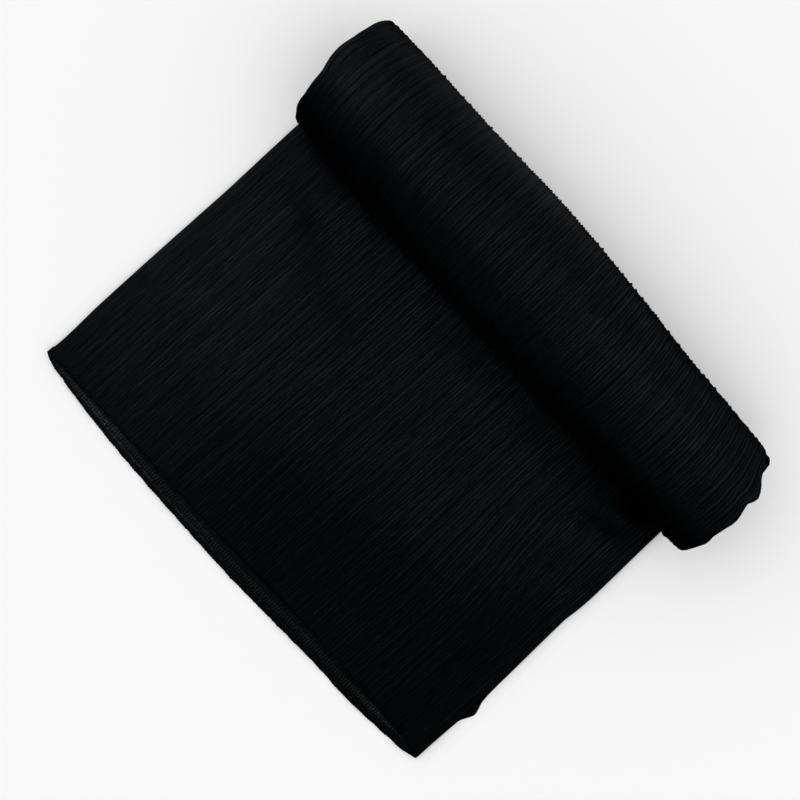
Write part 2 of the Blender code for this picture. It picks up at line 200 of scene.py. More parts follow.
class Nodes:
    """Adds nodes to one tree. A value that is a socket gets linked, and any other is set."""

    def __init__(self, tree):
        self.tree = tree

    def add(self, kind, values=(), output=None, **settings):
        node = self.tree.nodes.new(kind)
        for setting, value in settings.items():
            setattr(node, setting, value)
        pairs = values.items() if isinstance(values, dict) else enumerate(values)
        for socket, value in pairs:
            if isinstance(value, bpy.types.NodeSocket):
                self.link(value, node.inputs[socket])
            else:
                node.inputs[socket].default_value = value
        if output is not None:
            return node.outputs[output]
        return next((socket for socket in node.outputs if socket.enabled), None)

    def link(self, source, socket):
        self.tree.links.new(source, socket)

    def math(self, operation, *values, clamp=False):
        return self.add("ShaderNodeMath", values, operation=operation, use_clamp=clamp)

    def times(self, a, b):
        return self.math("MULTIPLY", a, b)

    def point(self, x=0.0, y=0.0, z=0.0):
        return self.add("ShaderNodeCombineXYZ", (x, y, z))

    def noise(self, vector, scale=1.0, detail=0.0, roughness=0.5):
        """Smooth noise about zero, from about -1 to 1."""
        sockets = {"Vector": vector, "Scale": scale, "Detail": detail, "Roughness": roughness}
        fac = self.add("ShaderNodeTexNoise", sockets, output="Fac")
        return self.math("MULTIPLY_ADD", fac, 4.0, -2.0)

    def named(self, attribute):
        return self.add("GeometryNodeInputNamedAttribute", {"Name": attribute}, data_type="FLOAT")

    def above_table(self, geometry):
        """The geometry with nothing of it lower than the table."""
        place = self.add("ShaderNodeSeparateXYZ", (self.add("GeometryNodeInputPosition"),)).node.outputs
        lifted = self.point(place["X"], place["Y"], self.math("MAXIMUM", place["Z"], LOWEST))
        return self.add("GeometryNodeSetPosition", {"Geometry": geometry, "Position": lifted})


def geometry_tree(name, inputs):
    """A new tree with a Geometry input and output and one named input for each (name, kind, default)."""
    tree = bpy.data.node_groups.new(name, "GeometryNodeTree")
    tree.interface.new_socket("Geometry", in_out="INPUT", socket_type="NodeSocketGeometry")
    tree.interface.new_socket("Geometry", in_out="OUTPUT", socket_type="NodeSocketGeometry")
    for label, kind, default in inputs:
        socket = tree.interface.new_socket(label, in_out="INPUT", socket_type="NodeSocket" + kind)
        if default is not None:
            socket.default_value = default
    group_in = tree.nodes.new("NodeGroupInput")
    group_out = tree.nodes.new("NodeGroupOutput")
    return tree, Nodes(tree), group_in.outputs, group_out.inputs


def apply_tree(piece, tree, values):
    """Runs the tree on a piece with its inputs set, and leaves a plain mesh object of the same name."""
    modifier = piece.modifiers.new(tree.name, "NODES")
    modifier.node_group = tree
    sockets = {item.name: item.identifier for item in tree.interface.items_tree if item.in_out == "INPUT"}
    for label, value in values.items():
        modifier[sockets[label]] = value
    depsgraph = bpy.context.evaluated_depsgraph_get()
    mesh = bpy.data.meshes.new_from_object(piece.evaluated_get(depsgraph), depsgraph=depsgraph)
    name = piece.name
    bpy.data.objects.remove(piece)
    mesh.name = name
    print(name, "after", tree.name + ":", len(mesh.polygons), "faces")
    return put_in_scene(name, mesh)


# %% [markdown]
# ## The satin
#
# Black satin is hardly ever black to the eye: its long floats catch the light along every crease.
# So the colour is almost nothing, a trace of blue, and the look is all in the gloss. Two bumps
# lie on each other: crinkles between the pleats that are too fine for the mesh, and the weave's
# floats. Handling has left dye and gloss a little uneven.


# %% Satin material
def new_material(name, specular):
    """A material, the helper for its nodes, and its shader."""
    material = bpy.data.materials.new(name)
    material.use_nodes = True
    shader = material.node_tree.nodes["Principled BSDF"]
    shader.inputs["Specular IOR Level"].default_value = specular
    return material, Nodes(material.node_tree), shader


def two_shades(nodes, share, colour, apart):
    """From a darker to a lighter shade of the colour."""
    shade = nodes.add("ShaderNodeMix", {"Factor": share}, output=2, data_type="RGBA")
    for socket, gain in ((6, 1 - apart), (7, 1 + apart)):
        shade.node.inputs[socket].default_value = (*[value * gain for value in colour], 1.0)
    return shade


CRINKLES_PER_M = (1000.0, 40.0)  # across the pleats and along them: crinkles are long and thin
FLOATS_PER_M = (9000.0, 1800.0)  # the weave's floats are far finer


def satin_material(name, colour, tint, roughness, crinkle, specular):
    material, nodes, shader = new_material(name, specular)
    shader.inputs["Specular Tint"].default_value = (*tint, 1.0)
    uv = nodes.add("ShaderNodeUVMap", uv_map="cloth")
    split = nodes.add("ShaderNodeSeparateXYZ", (uv,)).node.outputs
    crinkles, floats = (
        nodes.point(*[nodes.times(split[axis], rate) for axis, rate in zip("XY", rates)])
        for rates in (CRINKLES_PER_M, FLOATS_PER_M)
    )
    folds = nodes.math("ABSOLUTE", nodes.noise(crinkles, detail=2.0, roughness=0.6))
    weave = {"Strength": 0.35, "Distance": 0.00008, "Height": nodes.noise(floats)}
    fine = nodes.add("ShaderNodeBump", weave)
    coarse = {"Strength": crinkle, "Distance": 0.0004, "Height": folds, "Normal": fine}
    nodes.link(nodes.add("ShaderNodeBump", coarse), shader.inputs["Normal"])

    # The dye and the gloss are both a little uneven, at the scale of a hand.
    patches = nodes.noise(nodes.add("ShaderNodeTexCoord", output="Object"), scale=22.0, detail=3.0)
    share = nodes.math("MULTIPLY_ADD", patches, 0.25, 0.5, clamp=True)
    nodes.link(two_shades(nodes, share, colour, apart=0.3), shader.inputs["Base Color"])
    nodes.link(nodes.math("MULTIPLY_ADD", patches, 0.025, roughness), shader.inputs["Roughness"])
    print("material", name)
    return material


SATIN = satin_material(
    "black satin",
    colour=(0.0005, 0.0008, 0.0013),
    tint=(0.58, 0.80, 1.0),
    roughness=0.46,
    crinkle=0.90,
    specular=0.38,
)
HEM = satin_material(
    "hem satin",
    colour=(0.0010, 0.0013, 0.0017),
    tint=(0.86, 0.94, 1.0),
    roughness=0.31,
    crinkle=0.55,
    specular=0.40,
)

# %% [markdown]
# ## The pleats
#
# Crinkle pleating is done by twisting wet cloth and baking it, so no two pleats are alike: they
# wander, swell and die out. A Geometry Nodes tree gives every pleat its own height and its own
# ridge line, sways neighbours together and adds a slow puffing under several pleats at once. The
# grid's columns are moved with the creases, so every crease keeps its sharp edge.

# %% Pleating tree
PLEAT_INPUTS = (
    ("Depth", "Float", 0.0008),
    ("Sway", "Float", 0.0016),
    ("Puff", "Float", 0.0007),
    ("Seed", "Int", 1),
    ("Material", "Material", None),
)


def pleating_tree():
    tree, nodes, given, result = geometry_tree("crinkle pleats", PLEAT_INPUTS)
    phase, along, strength = (nodes.named(fact) for fact in ("pleat", "along", "strength"))
    seed = nodes.times(given["Seed"], 13.7)

    # Which pleat this is, and where across it.
    index = nodes.math("FLOOR", phase)
    across = nodes.math("SUBTRACT", phase, index)

    # Each pleat swells and fades along its own length, apart from its neighbours.
    own = nodes.point(nodes.times(index, 7.31), nodes.times(along, 0.02), seed)
    swell = nodes.math("MULTIPLY_ADD", nodes.noise(own, detail=1.0), 0.38, 0.90)
    # High and low pleats mostly take turns, because a high one has drawn the cloth out of the next.
    turns = nodes.math("MULTIPLY_ADD", nodes.math("FLOORED_MODULO", index, 2.0), -2.0, 1.0)
    pairing = nodes.point(nodes.times(index, 0.31), nodes.times(along, 0.015), seed)
    swell = nodes.math("MULTIPLY_ADD", nodes.times(turns, nodes.noise(pairing)), 0.45, swell)
    swell = nodes.math("MAXIMUM", swell, 0.12)

    # A tent with its ridge off centre.
    lean = nodes.point(nodes.times(index, 3.17), nodes.times(along, 0.015), 5.0)
    ridge = nodes.math("MULTIPLY_ADD", nodes.noise(lean), 0.20, 0.5)
    ridge = nodes.math("MINIMUM", nodes.math("MAXIMUM", ridge, 0.2), 0.8)
    rising = nodes.math("DIVIDE", across, ridge)
    falling = nodes.math("DIVIDE", nodes.math("SUBTRACT", 1.0, across), nodes.math("SUBTRACT", 1.0, ridge))
    tent = nodes.math("POWER", nodes.math("MINIMUM", rising, falling), 0.85)

    # Small facets that run slantwise, and the slow puffing below.
    slant = nodes.point(nodes.times(phase, 1.9), nodes.times(along, 0.16), seed)
    facets = nodes.times(nodes.noise(slant, detail=1.0), 0.06)
    broad = nodes.point(nodes.times(phase, 0.16), nodes.times(along, 0.013), seed)
    puff = nodes.times(nodes.noise(broad, detail=1.0), given["Puff"])

    height = nodes.math("MULTIPLY_ADD", tent, swell, facets)
    height = nodes.math("MULTIPLY_ADD", height, given["Depth"], puff)
    height = nodes.times(height, strength)

    # Neighbours sway together; each also has a little waver of its own.
    together = nodes.point(nodes.times(phase, 0.22), nodes.times(along, 0.012), 9.0)
    alone = nodes.point(nodes.times(phase, 0.9), nodes.times(along, 0.020), seed)
    shared = nodes.times(nodes.noise(together), 0.6)
    sway = nodes.math("MULTIPLY_ADD", nodes.noise(alone), 0.55, shared)
    sway = nodes.times(nodes.times(sway, given["Sway"]), strength)

    normal = nodes.add("GeometryNodeInputNormal")
    outward = nodes.add("ShaderNodeVectorMath", {0: normal, "Scale": height}, operation="SCALE")
    shift = nodes.add("ShaderNodeVectorMath", (outward, nodes.point(sway)), operation="ADD")
    moved = nodes.add("GeometryNodeSetPosition", {"Geometry": given["Geometry"], "Offset": shift})
    whole = nodes.add("GeometryNodeRealizeInstances", {"Geometry": nodes.above_table(moved)})
    coated = nodes.add("GeometryNodeSetMaterial", {"Geometry": whole, "Material": given["Material"]})
    nodes.link(coated, result["Geometry"])
    return tree


PLEATING = pleating_tree()
print("pleating tree:", len(PLEATING.nodes), "nodes")

# %% [markdown]
# ## The flap's upper layer
#
# The upper layer lies on the lower one with air between them, so it stands up a little in the
# middle, and the roll pulls soft creases into it. Creases are placed one by one, each a small table
# row: where it lies, how far it reaches and which way it runs. Some are ridges or hollows; others
# are steps, where the cloth rises once and stays up. The grid runs on round the fold at its left,
# and turns under at its hems.

# %% Outline of the flap
EndPoint = namedtuple("EndPoint", "x upper lower")
FREE_END = table(
    EndPoint,
    (-176.0, -146.2, -147.2),
    (-172.5, -146.6, -149.0),
    (-166.0, -146.6, -150.8),
    (-154.0, -145.9, -152.4),
    (-128.0, -145.3, -154.8),
    (-90.0, -145.0, -156.7),
    (-40.0, -144.2, -157.1),
    (10.0, -142.2, -156.8),
    (52.0, -140.4, -154.9),
    (90.0, -140.3, -153.0),
    (115.0, -140.4, -152.9),
    (141.0, -140.7, -151.0),
    (154.0, -141.0, -149.5),
    (167.0, -141.9, -148.1),
    (177.5, -143.2, -145.2),
)

SidePoint = namedtuple("SidePoint", "y left upper_right lower_right")
FLAP_SIDES = table(
    SidePoint,
    (-158.0, -173.6, 177.6, 177.8),
    (-146.0, -173.4, 177.6, 177.8),
    (-136.0, -172.4, 177.5, 177.9),
    (-120.0, -172.7, 177.6, 178.2),
    (-108.0, -173.3, 177.6, 178.6),
    (-103.0, -173.5, 177.4, 180.8),
    (-98.0, -173.6, 177.2, 182.4),
    (-88.0, -173.7, 177.2, 179.0),
    (-48.0, -173.8, 176.1, 176.9),
    (-20.0, -173.8, 174.7, 175.3),
    (-3.0, -173.8, 175.7, 176.0),
    (10.0, -173.9, 175.7, 176.1),
    (60.0, -175.0, 173.8, 174.2),
    (104.0, -175.4, 173.3, 173.7),
)


def side_x(y, side):
    return read(FLAP_SIDES, "y", side, y)


print("flap's right edge at its free end, in mm:", round(float(side_x(-140.0, "upper_right")), 1))

# %% Creases of the flap
LAYER = 1.1  # one layer with its pleats
SLACK, PRESSED_SLACK = 1.5, 0.5  # the air between the layers, and what is left of it under the roll
PUFFED = 1.9  # more air in the flap's middle
HALF_WIDTH, SIDE_FADE = 176.0, 22.0
FLAP_FRONT, FLAP_BACK, FLAP_LENGTH = -145.0, 105.0, 248.0
ROLL_NEAR, PRESS_REACH = 62.0, 18.0  # where the roll begins to press, and over how far

Crease = namedtuple("Crease", "x y reach_along reach_across height turn_deg")
CREASES = table(
    Crease,
    (143.0, 37.0, 17.0, 8.0, -3.8, 28.0),
    (154.0, 54.0, 20.0, 10.0, 7.6, 30.0),
    (124.0, 52.0, 14.0, 5.0, 1.4, -24.0),
    (128.0, 16.0, 9.0, 34.0, 1.0, 6.0),
    (160.0, -20.0, 10.0, 26.0, 1.2, 12.0),
    (60.0, -54.0, 150.0, 40.0, 3.8, 9.0),
    (100.0, -126.0, 130.0, 38.0, -1.9, 9.0),
)
STEPS = table(  # each rises towards the roll
    Crease,
    (-129.0, 34.0, 46.0, 7.5, 5.2, -31.0),
    (-68.0, 8.0, 32.0, 9.0, 2.0, -12.0),
)


def crease_frame(crease, x, y):
    """How far the places lie along the crease and across it, in its own reaches."""
    turn = radians(crease.turn_deg)
    dx, dy = x - crease.x, y - crease.y
    along = (dx * np.cos(turn) + dy * np.sin(turn)) / crease.reach_along
    return along, (dy * np.cos(turn) - dx * np.sin(turn)) / crease.reach_across


def slack(x, y):
    """The air between the flap's two layers."""
    rise = PUFFED * (1 - (np.abs(x) / HALF_WIDTH) ** 4) * (0.75 + 0.25 * np.cos(np.pi * y / FLAP_LENGTH))
    for crease in CREASES:
        along, across = crease_frame(crease, x, y)
        rise = rise + crease.height * np.exp(-(along**2) - across**2)
    for step in STEPS:
        along, across = crease_frame(step, x, y)
        rise = rise + step.height * np.exp(-(along**2)) * (1 + np.tanh(across)) / 2
    rise = np.maximum(rise, 0.0) * ease((HALF_WIDTH - np.abs(x)) / SIDE_FADE)
    return mix(SLACK + rise, PRESSED_SLACK, ease((y - ROLL_NEAR) / PRESS_REACH))


print("air in the middle of the flap, in mm:", round(float(slack(0.0, 0.0)), 2))

# %% [markdown]
# The pleats run straight through the flap, although its edges have bumps. So only the outermost
# columns follow the edges. At the right the real pleats also drift outwards a little.

# %% How the columns run
EDGE_REACH = 14.0  # how far inwards a bump of the edge bends the pleats
CLOTH_WIDTH = 352.0  # roughly, to tell how far a column is from the edges
CALM_LEFT, CALM_RIGHT = -171.6, 176.2  # the edges without their bumps
LEAN, LEAN_X, LEAN_REACH = 11.0, 120.0, 38.0  # how far the pleats drift, where most, and how wide
LEAN_START, LEAN_RUN, LEAN_FADE = 30.0, 120.0, 30.0


def spread_between(left, right, calm_left, calm_right, reach=EDGE_REACH):
    """x of every column: the outer ones follow the cloth's edges, and the ones inside run straight."""
    x = mix(calm_left, calm_right, SHARES[None, :])
    near_left = np.exp(-SHARES[None, :] * CLOTH_WIDTH / reach)
    near_right = np.exp(-(1 - SHARES[None, :]) * CLOTH_WIDTH / reach)
    return x + (left - calm_left) * near_left + (right - calm_right) * near_right


def lean(x, y):
    """At the right the pleats drift outwards on their way to the free end."""
    middle = np.exp(-(((x - LEAN_X) / LEAN_REACH) ** 2)) * ease((HALF_WIDTH - x) / LEAN_FADE)
    return LEAN * middle * ease((LEAN_START - y) / LEAN_RUN)


print("drift at the free end, in mm:", round(float(lean(LEAN_X, FLAP_FRONT)), 1))

# %% [markdown]
# A hem is an edge that turns over and runs back underneath. Rows (or columns) of the grid do
# that: each one says how far past the edge it lies and how far down.

# %% Upper layer
Turn = namedtuple("Turn", "out down strength")
UPPER_HEM = table(
    Turn,
    (-4.5, 1.25, 0.2),
    (-0.6, 1.2, 0.4),
    (0.1, 0.95, 0.6),
    (0.3, 0.55, 0.7),
    (0.1, 0.2, 0.8),
)
FOLD_ROUND = 2.2
FOLD_ANGLES = np.linspace(180, 0, 13)[:-1]  # 180 is under the fold, 0 on top of it
FLAP_ROWS = 58
NEAR_EDGE_ROWS = (0.0, 0.0014, 0.0045, 0.012)  # close rows keep the hem's turn from shading the flat cloth
EDGE_CURL, CURL_REACH = 0.15, 2.6  # how far the free edge droops
EDGE_PLEATS = 0.35  # what is left of the pleats at the fold and the hem
FOLD_FADE, HEM_FADE = 7.0, 4.0


def upper_layer():
    even_rows = np.linspace(NEAR_EDGE_ROWS[-1], 1, FLAP_ROWS - len(NEAR_EDGE_ROWS) + 1)[1:]
    lengthwise = np.concatenate([np.zeros(len(UPPER_HEM)), NEAR_EDGE_ROWS, even_rows])
    past_edge = np.concatenate([column(UPPER_HEM, "out"), np.zeros(FLAP_ROWS)])
    below_edge = np.concatenate([column(UPPER_HEM, "down"), np.zeros(FLAP_ROWS)])
    fade = np.concatenate([column(UPPER_HEM, "strength"), np.ones(FLAP_ROWS)])
    rough_y = mix(FLAP_FRONT, FLAP_BACK, lengthwise)[:, None]
    left, right = side_x(rough_y, "left"), side_x(rough_y, "upper_right")

    x = spread_between(left + FOLD_ROUND, right, CALM_LEFT, CALM_RIGHT)
    x = x + lean(x, rough_y)
    front = read(FREE_END, "x", "upper", x)
    y = mix(front, FLAP_BACK, lengthwise[:, None]) - past_edge[:, None]
    droop = EDGE_CURL * np.exp(-(((y - front) / CURL_REACH) ** 2))
    z = 2 * LAYER + slack(x, y) - below_edge[:, None] - droop
    strength = fade[:, None] * np.ones_like(x)
    strength = strength * mix(EDGE_PLEATS, 1.0, ease((x - left) / FOLD_FADE))
    strength = strength * mix(EDGE_PLEATS, 1.0, ease((right - x) / HEM_FADE))

    middle = (2 * LAYER + slack(left, y[:, :1]) - droop[:, :1]) / 2
    turned = np.radians(FOLD_ANGLES)[None, :]
    fold_x = left + FOLD_ROUND - FOLD_ROUND * np.sin(turned)
    low_share = FOLD_ANGLES[None, :] / 180.0
    fold_front = mix(read(FREE_END, "x", "upper", fold_x), read(FREE_END, "x", "lower", fold_x), low_share)
    fold_y = mix(fold_front, FLAP_BACK, lengthwise[:, None]) - past_edge[:, None]
    on_top = 0.5 * (1 + np.cos(turned))
    fold_z = middle + (middle - 0.25) * np.cos(turned) - below_edge[:, None] * on_top * 0.6
    fold = np.stack([fold_x, fold_y, np.maximum(fold_z, 0.2)], axis=-1)

    edge = [
        np.stack([x[:, -1] + turn.out * 0.8, y[:, -1], np.maximum(z[:, -1] - turn.down, 1.2)], axis=-1)
        for turn in reversed(UPPER_HEM)
    ]
    points = np.concatenate([fold, np.stack([x, y, z], axis=-1), np.stack(edge, axis=1)], axis=1)
    fold_phases = np.linspace(-1.4, -0.1, len(FOLD_ANGLES))
    phases = np.concatenate([fold_phases, PHASES, past_last_pleat(len(UPPER_HEM))])
    along = np.repeat(y[:, :1], points.shape[1], axis=1)
    around = np.full((len(lengthwise), len(FOLD_ANGLES)), 0.16) * fade[:, None]
    beyond = np.full((len(lengthwise), len(UPPER_HEM)), 0.2)
    return points, phases, along, np.concatenate([around, strength, beyond], axis=1)


upper = cloth_grid("flap_upper", *upper_layer())
PLEATED = {"Depth": 0.0009, "Sway": 0.0005, "Puff": 0.00012, "Material": SATIN}
upper = apply_tree(upper, PLEATING, {**PLEATED, "Seed": 3})

# %% [markdown]
# ## The flap's lower layer
#
# The lower layer lies flat on the table. It shows in two places only: along the free end, where
# it bows out beyond the upper layer and ends in a thick rolled rim, and at the right, where its
# hem peeps out as one small lobe. So its rows crowd together at the free end and around the lobe.

# %% The rolled rim
RimPoint = namedtuple("RimPoint", "inward height strength")
RIM = table(
    RimPoint,
    (1.9, 0.10, 0.0),
    (0.9, 0.15, 0.1),
    (0.2, 0.45, 0.3),
    (0.0, 0.95, 0.5),
    (0.3, 1.40, 0.6),
    (1.0, 1.72, 0.6),
    (2.4, 1.80, 0.6),
    (3.8, 1.76, 0.6),
    (4.35, 1.62, 0.5),
    (4.5, 1.10, 0.5),
    (4.6, 0.45, 0.4),
    (7.0, 0.40, 0.3),
    (11.0, 0.40, 0.3),
    (16.0, 0.40, 0.3),
)
THIN_RIM, THIN_FROM, THIN_RUN = 0.62, -170.0, 60.0


def rim_scale(x):
    """The rim is thinner towards the fold."""
    return mix(THIN_RIM, 1.0, ease((x - THIN_FROM) / THIN_RUN))


def ripple(at, waves, seed):
    """An uneven wave about zero, roughly from -1 to 1: a few sines of random pitch and phase."""
    chance = np.random.default_rng(seed)
    total = np.zeros(np.shape(at))
    for _ in range(5):
        total = total + np.sin(np.asarray(at) * waves * chance.uniform(0.4, 1.6) + chance.uniform(0, 6.3))
    return total / 2.6


print("rim's scale at the left and the right:", rim_scale(np.array([-170.0, 170.0])).round(2).tolist())

# %% Lower layer
FAR_STATIONS = (-60, -40, -15, 10, 35, 70, 105)
LOWER_STATIONS = (-133, -124, -116, -110, -107, -104.5, -102, -99.5, -97, -94, -90, -84, -74, *FAR_STATIONS)
LOWER_TOP, LOWER_STRENGTH = 0.45, 0.3
RIM_Y, RIM_RIPPLE = -150.0, 0.15
BEAD_HEIGHT, BEAD_INWARD, BEAD_REACH = 0.75, 1.2, 0.9  # the thick edge of the side hem
SIDE_HEM = table(
    RimPoint,
    (-0.1, 0.75, 0.2),
    (0.0, 0.40, 0.1),
    (1.0, 0.12, 0.0),
)


def lower_layer():
    rim_rows = len(RIM)
    inward, height = column(RIM, "inward")[:, None], column(RIM, "height")[:, None]
    stations = np.array(LOWER_STATIONS, dtype=float)[:, None]
    rough_y = np.concatenate([np.full((rim_rows, 1), RIM_Y), stations])
    left, right = side_x(rough_y, "left"), side_x(rough_y, "lower_right")
    x = mix(left + FOLD_ROUND, right, SHARES[None, :])
    front = read(FREE_END, "x", "lower", x)
    wave = RIM_RIPPLE * ripple(x[:rim_rows], 0.35, 21) * np.exp(-inward / 3.0)
    rim_y = front[:rim_rows] + inward * rim_scale(x[:rim_rows]) + wave
    y = np.concatenate([rim_y, np.repeat(stations, x.shape[1], axis=1)])
    lift = 1 + 0.25 * ripple(x[:rim_rows], 0.12, 22)
    taper = mix(0.35, 1.0, ease((x[:rim_rows] - left[:rim_rows]) / 9.0))
    z = np.concatenate([height * lift * taper, np.full((len(stations), x.shape[1]), LOWER_TOP)])
    hem_bead = BEAD_HEIGHT * np.exp(-(((right - x - BEAD_INWARD) / BEAD_REACH) ** 2)) * (rough_y > RIM_Y)
    strength = np.concatenate([column(RIM, "strength"), np.full(len(stations), LOWER_STRENGTH)])
    strength = strength[:, None] * ease((x - left) / 6.0)
    edge = [
        np.stack([x[:, -1] - point.inward, y[:, -1], np.full(len(y), point.height)], axis=-1)
        for point in SIDE_HEM
    ]
    points = np.concatenate([np.stack([x, y, z + hem_bead], axis=-1), np.stack(edge, axis=1)], axis=1)
    phases = np.concatenate([PHASES, past_last_pleat(len(SIDE_HEM))])
    along = np.repeat(y[:, :1], points.shape[1], axis=1)
    beyond = np.zeros((len(y), len(SIDE_HEM)))
    return points, phases, along, np.concatenate([strength, beyond], axis=1)


lower = cloth_grid("flap_lower", *lower_layer())
FLATTER = {"Depth": 0.0007, "Sway": 0.0006, "Puff": 0.0, "Material": SATIN}
lower = apply_tree(lower, PLEATING, {**FLATTER, "Seed": 8})

# %% [markdown]
# ## The roll
#
# The same double strip goes on under the roll, up its far side, over the top and down its near
# side. Its section is an oval, flattened where it rests. One function gives a point of it from
# the place along the roll, the angle round it and how deep inside the outline it lies, and
# everything on the roll is made from that.

# %% Form of the roll
RollStation = namedtuple("RollStation", "x centre half_width half_height")
ROLL = table(
    RollStation,
    (-186.0, 110.1, 43.9, 33.6),
    (-150.0, 109.0, 45.7, 35.4),
    (-110.0, 108.5, 46.4, 36.1),
    (-80.0, 108.5, 47.1, 36.5),
    (-20.0, 109.0, 48.6, 37.0),
    (50.0, 108.2, 47.6, 36.6),
    (100.0, 107.3, 45.6, 35.6),
    (145.0, 107.2, 44.3, 34.4),
    (192.0, 107.6, 42.1, 32.6),
)
TURN_PITCH = 3.4  # from one turn to the next
SAG = 2.6  # how much of the oval is flattened by its weight
SHOULDER = 0.9  # below 1, the near side of the top is squarer than an ellipse
MM_PER_DEGREE = 0.74  # along the cloth, round the roll


def roll_points(x, angle, depth):
    """Points of the roll, in mm. angle is in degrees from the bottom, towards the far side."""
    x, angle, depth = np.broadcast_arrays(x, angle, depth)
    centre, half_width, half_height = (
        read(ROLL, "x", name, x) for name in ("centre", "half_width", "half_height")
    )
    turned = np.radians(angle)
    squareness = np.where((angle % 360 > 180) & (angle % 360 < 270), SHOULDER, 1.0)
    sideways = np.sign(np.sin(turned)) * np.abs(np.sin(turned)) ** squareness
    upwards = -np.sign(np.cos(turned)) * np.abs(np.cos(turned)) ** squareness
    y = centre + (half_width - depth) * sideways
    z = half_height - SAG + (half_height - depth) * upwards
    return np.stack([x, y, np.maximum(z, depth)], axis=-1)


def wound(angle):
    """How deep the strip lies after that much winding."""
    return TURN_PITCH * np.maximum(angle, 0.0) / 360.0


print("top of the roll's middle, in mm:", round(float(roll_points(0.0, 180.0, 0.0)[2]), 1))

# %% [markdown]
# The outer turn's two edges wander as it winds, so their table is read by angle: 0 is underneath,
# 90 the far side, 180 the top and 270 the near side. Each edge has a second, calmer table, which
# the pleats inside follow.

# %% Edges of the outer turn
EdgePoint = namedtuple("EdgePoint", "angle left right")
TURN_EDGES = table(
    EdgePoint,
    (-10.0, -175.4, 173.2),
    (45.0, -176.6, 173.6),
    (105.0, -179.0, 175.0),
    (130.0, -181.8, 179.4),
    (141.0, -182.2, 181.8),
    (150.0, -182.8, 186.6),
    (160.0, -183.2, 189.4),
    (168.0, -184.0, 187.0),
    (177.0, -184.0, 188.6),
    (186.0, -182.7, 190.2),
    (194.0, -180.5, 189.3),
    (210.0, -179.2, 188.6),
    (218.0, -178.4, 189.6),
    (229.0, -177.4, 188.2),
    (242.0, -176.2, 186.6),
    (256.0, -174.6, 186.2),
    (274.0, -174.0, 186.0),
    (286.0, -173.9, 182.5),
    (305.0, -173.8, 177.4),
    (360.0, -174.4, 176.0),
)
CALM_EDGES = table(
    EdgePoint,
    (-10.0, -175.0, 174.0),
    (90.0, -179.0, 176.5),
    (180.0, -182.5, 185.5),
    (240.0, -178.0, 184.0),
    (300.0, -175.0, 178.0),
    (360.0, -174.5, 176.0),
)


def turn_edge(angle, side):
    wave = 0.25 * ripple(angle, 0.09, 31 if side == "left" else 32) * ease((angle - 20.0) / 40.0)
    return read(TURN_EDGES, "angle", side, angle) + wave


print("outer turn's right edge on top, in mm:", round(float(turn_edge(180.0, "right")), 1))

# %% [markdown]
# Soft swellings keep the roll from looking turned on a lathe. Like the flap's creases, they are
# placed one by one. At its left the turn is folded, and at its right it ends in two hems: two short
# profiles give those edges their thickness.

# %% The roll's outer turn
Swelling = namedtuple("Swelling", "x angle reach_x reach_angle height")
SWELLINGS = table(
    Swelling,
    (-120.0, 196.0, 45.0, 16.0, 0.9),
    (-20.0, 214.0, 50.0, 14.0, -0.9),
    (70.0, 190.0, 60.0, 18.0, 0.7),
    (150.0, 205.0, 30.0, 20.0, 0.8),
    (-60.0, 240.0, 40.0, 16.0, 0.9),
    (110.0, 250.0, 45.0, 14.0, -0.8),
    (20.0, 145.0, 70.0, 16.0, -0.8),
    (-110.0, 110.0, 60.0, 20.0, 0.8),
    (90.0, 80.0, 60.0, 20.0, -0.8),
)
ROLL_ROWS = 70
TURN_START, TURN_END = -8.0, 350.0
PRESSED_FROM, PRESSED_TO, PRESSED_FADE = 352.0, -4.0, 30.0  # the turn's pleats are flat underneath
VALLEY = 0.5  # how deep the pleats' valleys lie inside the outline
FOLD_DEPTHS = table(
    Turn,
    (-14.0, 2.3, 0.0),
    (-5.0, 2.3, 0.0),
    (-1.6, 2.2, 0.1),
    (-0.4, 1.8, 0.2),
    (0.0, 1.15, 0.3),
    (-0.3, 0.5, 0.4),
    (-1.1, 0.15, 0.5),
)
OPEN_DEPTHS = table(
    Turn,
    (0.3, 0.25, 0.3),
    (0.4, 0.6, 0.3),
    (0.1, 0.95, 0.2),
    (-2.5, 1.05, 0.1),
)
TURN_EDGE_REACH = 6.0


